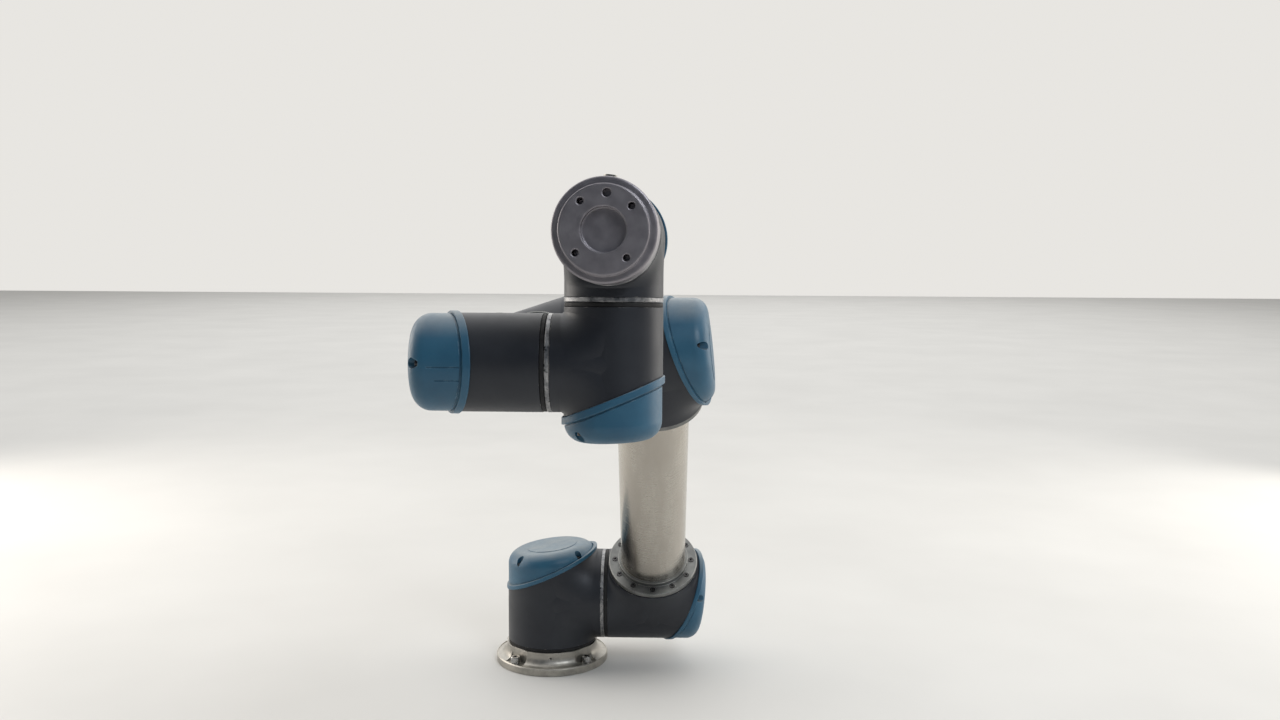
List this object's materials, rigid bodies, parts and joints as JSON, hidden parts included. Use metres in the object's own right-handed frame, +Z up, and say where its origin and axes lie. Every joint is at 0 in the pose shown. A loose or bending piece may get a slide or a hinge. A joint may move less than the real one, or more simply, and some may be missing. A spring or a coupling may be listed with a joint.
{
  "type": "six-axis robot arm",
  "caption": "Six-axis collaborative robot arm on a round bolt-down base, with dark cast joint housings, slanted blue end caps, an aluminium tube and a round tool flange.",
  "frame": {"origin": "centre of the base flange's bottom face, on the base joint's axis", "axes": "+Z up along the base joint's axis, the arm reaches towards -Y in the stored pose, and the shoulder joint stands on the +X side"},
  "size_m": [0.2802, 0.7858, 0.6017],
  "materials": {
    "base_casting": "bead-blasted cast aluminium",
    "housing_coat": "satin dark metallic grey coat on cast aluminium",
    "cap_blue": "satin moulded plastic",
    "seal_rubber": "matte black",
    "ring_metal": "turned",
    "tube_aluminium": "brushed along its length",
    "flange_ring_metal": "turned and anodised grey",
    "screw_steel": "plain steel socket screws",
    "tool_anodised": "grey hard anodised",
    "connector_nickel": "nickel plated",
    "gland_plastic": "black nylon",
    "cover_aluminium": "plain plate",
    "winding_copper": "lacquered copper winding on laminations",
    "rotor_steel": "ground steel and magnets",
    "gear_steel": "ground steel"
  },
  "bodies": {
    "base": {"base_flange": "base_casting", "base_cover": "cover_aluminium", "base_gland": "gland_plastic"},
    "shoulder_link": {"base_joint_housing": "housing_coat", "base_joint_cap": "cap_blue", "base_joint_seal": "seal_rubber", "base_joint_stator": "winding_copper", "base_joint_rotor": "rotor_steel", "base_joint_gear": "gear_steel", "shoulder_link_cap_screws": "screw_steel", "shoulder_joint_ring": "ring_metal"},
    "upper_arm": {"shoulder_joint_housing": "housing_coat", "shoulder_joint_cap": "cap_blue", "shoulder_joint_seal": "seal_rubber", "shoulder_joint_stator": "winding_copper", "shoulder_joint_rotor": "rotor_steel", "shoulder_joint_gear": "gear_steel", "elbow_joint_housing": "housing_coat", "elbow_joint_cap": "cap_blue", "elbow_joint_seal": "seal_rubber", "elbow_joint_stator": "winding_copper", "elbow_joint_rotor": "rotor_steel", "elbow_joint_gear": "gear_steel", "upper_arm_cap_screws": "screw_steel", "upper_arm_tube": "tube_aluminium", "upper_arm_lower_ring": "flange_ring_metal", "upper_arm_upper_ring": "flange_ring_metal", "upper_arm_ring_screws": "screw_steel"},
    "forearm": {"elbow_joint_ring": "ring_metal", "elbow_cup": "housing_coat", "forearm_tube": "tube_aluminium", "forearm_lower_ring": "flange_ring_metal", "forearm_upper_ring": "flange_ring_metal", "forearm_ring_screws": "screw_steel", "wrist_1_housing": "housing_coat", "wrist_1_cap": "cap_blue", "wrist_1_seal": "seal_rubber", "wrist_1_stator": "winding_copper", "wrist_1_rotor": "rotor_steel", "wrist_1_gear": "gear_steel", "forearm_cap_screws": "screw_steel"},
    "wrist_1_link": {"wrist_1_ring": "ring_metal", "wrist_2_housing": "housing_coat", "wrist_2_cap": "cap_blue", "wrist_2_seal": "seal_rubber", "wrist_2_stator": "winding_copper", "wrist_2_rotor": "rotor_steel", "wrist_2_gear": "gear_steel", "wrist_1_link_cap_screws": "screw_steel"},
    "wrist_2_link": {"wrist_2_ring": "ring_metal", "wrist_3_housing": "housing_coat", "wrist_3_cap": "cap_blue", "wrist_3_seal": "seal_rubber", "wrist_3_stator": "winding_copper", "wrist_3_rotor": "rotor_steel", "wrist_3_gear": "gear_steel", "wrist_2_link_cap_screws": "screw_steel"},
    "tool": {"wrist_3_ring": "ring_metal", "tool_flange": "tool_anodised", "tool_connector": "connector_nickel"}
  },
  "joints": [
    {"name": "base_turn", "type": "hinge", "parent": "base", "child": "shoulder_link", "pos_m": [0, 0, 0], "axis": [0, 0, 1], "range_deg": [-360, 360]},
    {"name": "shoulder_turn", "type": "hinge", "parent": "shoulder_link", "child": "upper_arm", "pos_m": [0.1359, 0, 0.0892], "axis": [1, 0, 0], "range_deg": [-360, 360]},
    {"name": "elbow_turn", "type": "hinge", "parent": "upper_arm", "child": "forearm", "pos_m": [0.1359, -0.24072, 0.43945], "axis": [1, 0, 0], "range_deg": [-190, 100]},
    {"name": "wrist_1_turn", "type": "hinge", "parent": "forearm", "child": "wrist_1_link", "pos_m": [0.0162, -0.63211, 0.46476], "axis": [1, 0, 0], "range_deg": [-360, 360]},
    {"name": "wrist_2_turn", "type": "hinge", "parent": "wrist_1_link", "child": "wrist_2_link", "pos_m": [0.1092, -0.63211, 0.46476], "axis": [0, 0.0541, 0.9985], "range_deg": [-360, 360]},
    {"name": "wrist_3_turn", "type": "hinge", "parent": "wrist_2_link", "child": "tool", "pos_m": [0.1092, -0.62698, 0.55932], "axis": [-0.0471, -0.9974, 0.054], "range_deg": [-360, 360]}
  ]
}
